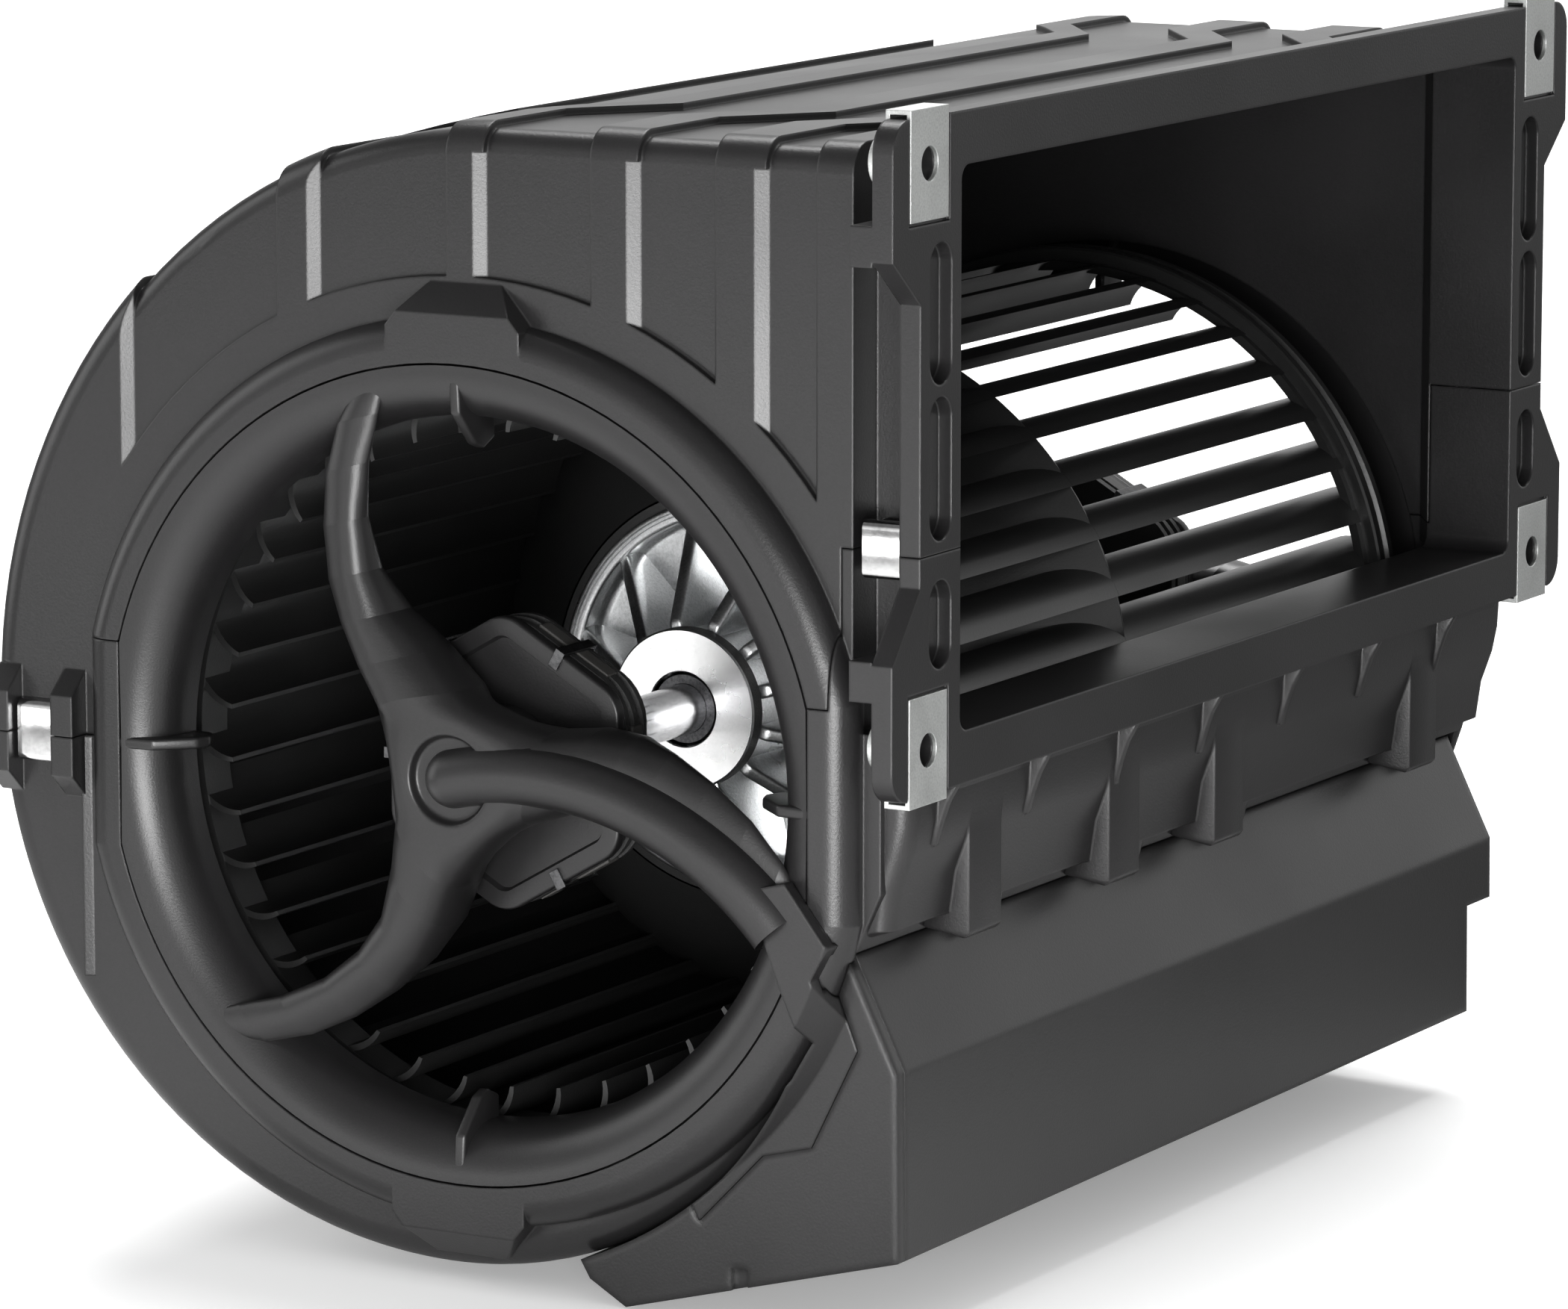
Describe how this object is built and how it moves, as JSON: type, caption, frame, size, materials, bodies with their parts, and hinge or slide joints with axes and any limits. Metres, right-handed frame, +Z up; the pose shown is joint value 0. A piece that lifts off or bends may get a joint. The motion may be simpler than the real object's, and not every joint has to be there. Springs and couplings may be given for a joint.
{
  "type": "centrifugal blower",
  "caption": "Double-inlet centrifugal blower with a scroll housing, drum impeller on an external-rotor motor, bolted outlet flange and control box.",
  "frame": {"origin": "centre of the outlet's four-bolt pattern, on the flange face", "axes": "+X out of the outlet, +Y along the fan axis away from the cable inlet side, +Z up"},
  "size_m": [0.2917, 0.4144, 0.3214],
  "materials": {
    "housing_plastic": "fine grained moulding",
    "support_plastic": "smooth satin moulding",
    "box_plastic": "fine grained moulding",
    "impeller_plastic": "satin moulding",
    "damper_rubber": "matte rubber",
    "strip_plastic": "smooth",
    "bright_steel": "polished spring steel",
    "clip_sheet": "grey coated sheet",
    "axle_steel": "ground",
    "bearing_steel": "ground",
    "cast_aluminium": "die cast",
    "yoke_steel": "drawn",
    "magnet": "sintered",
    "lamination": "stacked sheet",
    "copper": "enamelled wire",
    "board": "lacquered",
    "parts": "moulded"
  },
  "bodies": {
    "housing": {"upper_housing": "housing_plastic", "lower_housing": "housing_plastic", "inlet_support_near": "support_plastic", "inlet_support_far": "support_plastic", "arm_cable_duct": "support_plastic", "arm_end_cover": "support_plastic", "control_box": "box_plastic", "box_end_cover": "box_plastic", "control_board": "board", "board_parts": "parts", "damper_near": "damper_rubber", "damper_far": "damper_rubber", "damper_strips": "strip_plastic", "damper_straps": "bright_steel", "axle": "axle_steel", "stator_core": "lamination", "stator_windings": "copper", "bearing_inner_rings": "bearing_steel", "axle_circlips": "bright_steel", "clip_nuts": "clip_sheet", "spring_clips": "bright_steel"},
    "impeller": {"bearing_outer_rings": "bearing_steel", "bearing_balls": "bearing_steel", "rotor_cap_near": "cast_aluminium", "rotor_cap_far": "cast_aluminium", "rotor_yoke": "yoke_steel", "rotor_magnets": "magnet", "impeller_near": "impeller_plastic", "impeller_far": "impeller_plastic"}
  },
  "joints": [
    {"name": "impeller_spin", "type": "hinge", "parent": "housing", "child": "impeller", "pos_m": [-0.138, 0, -0.0939], "axis": [0, 1, 0], "continuous": true}
  ]
}
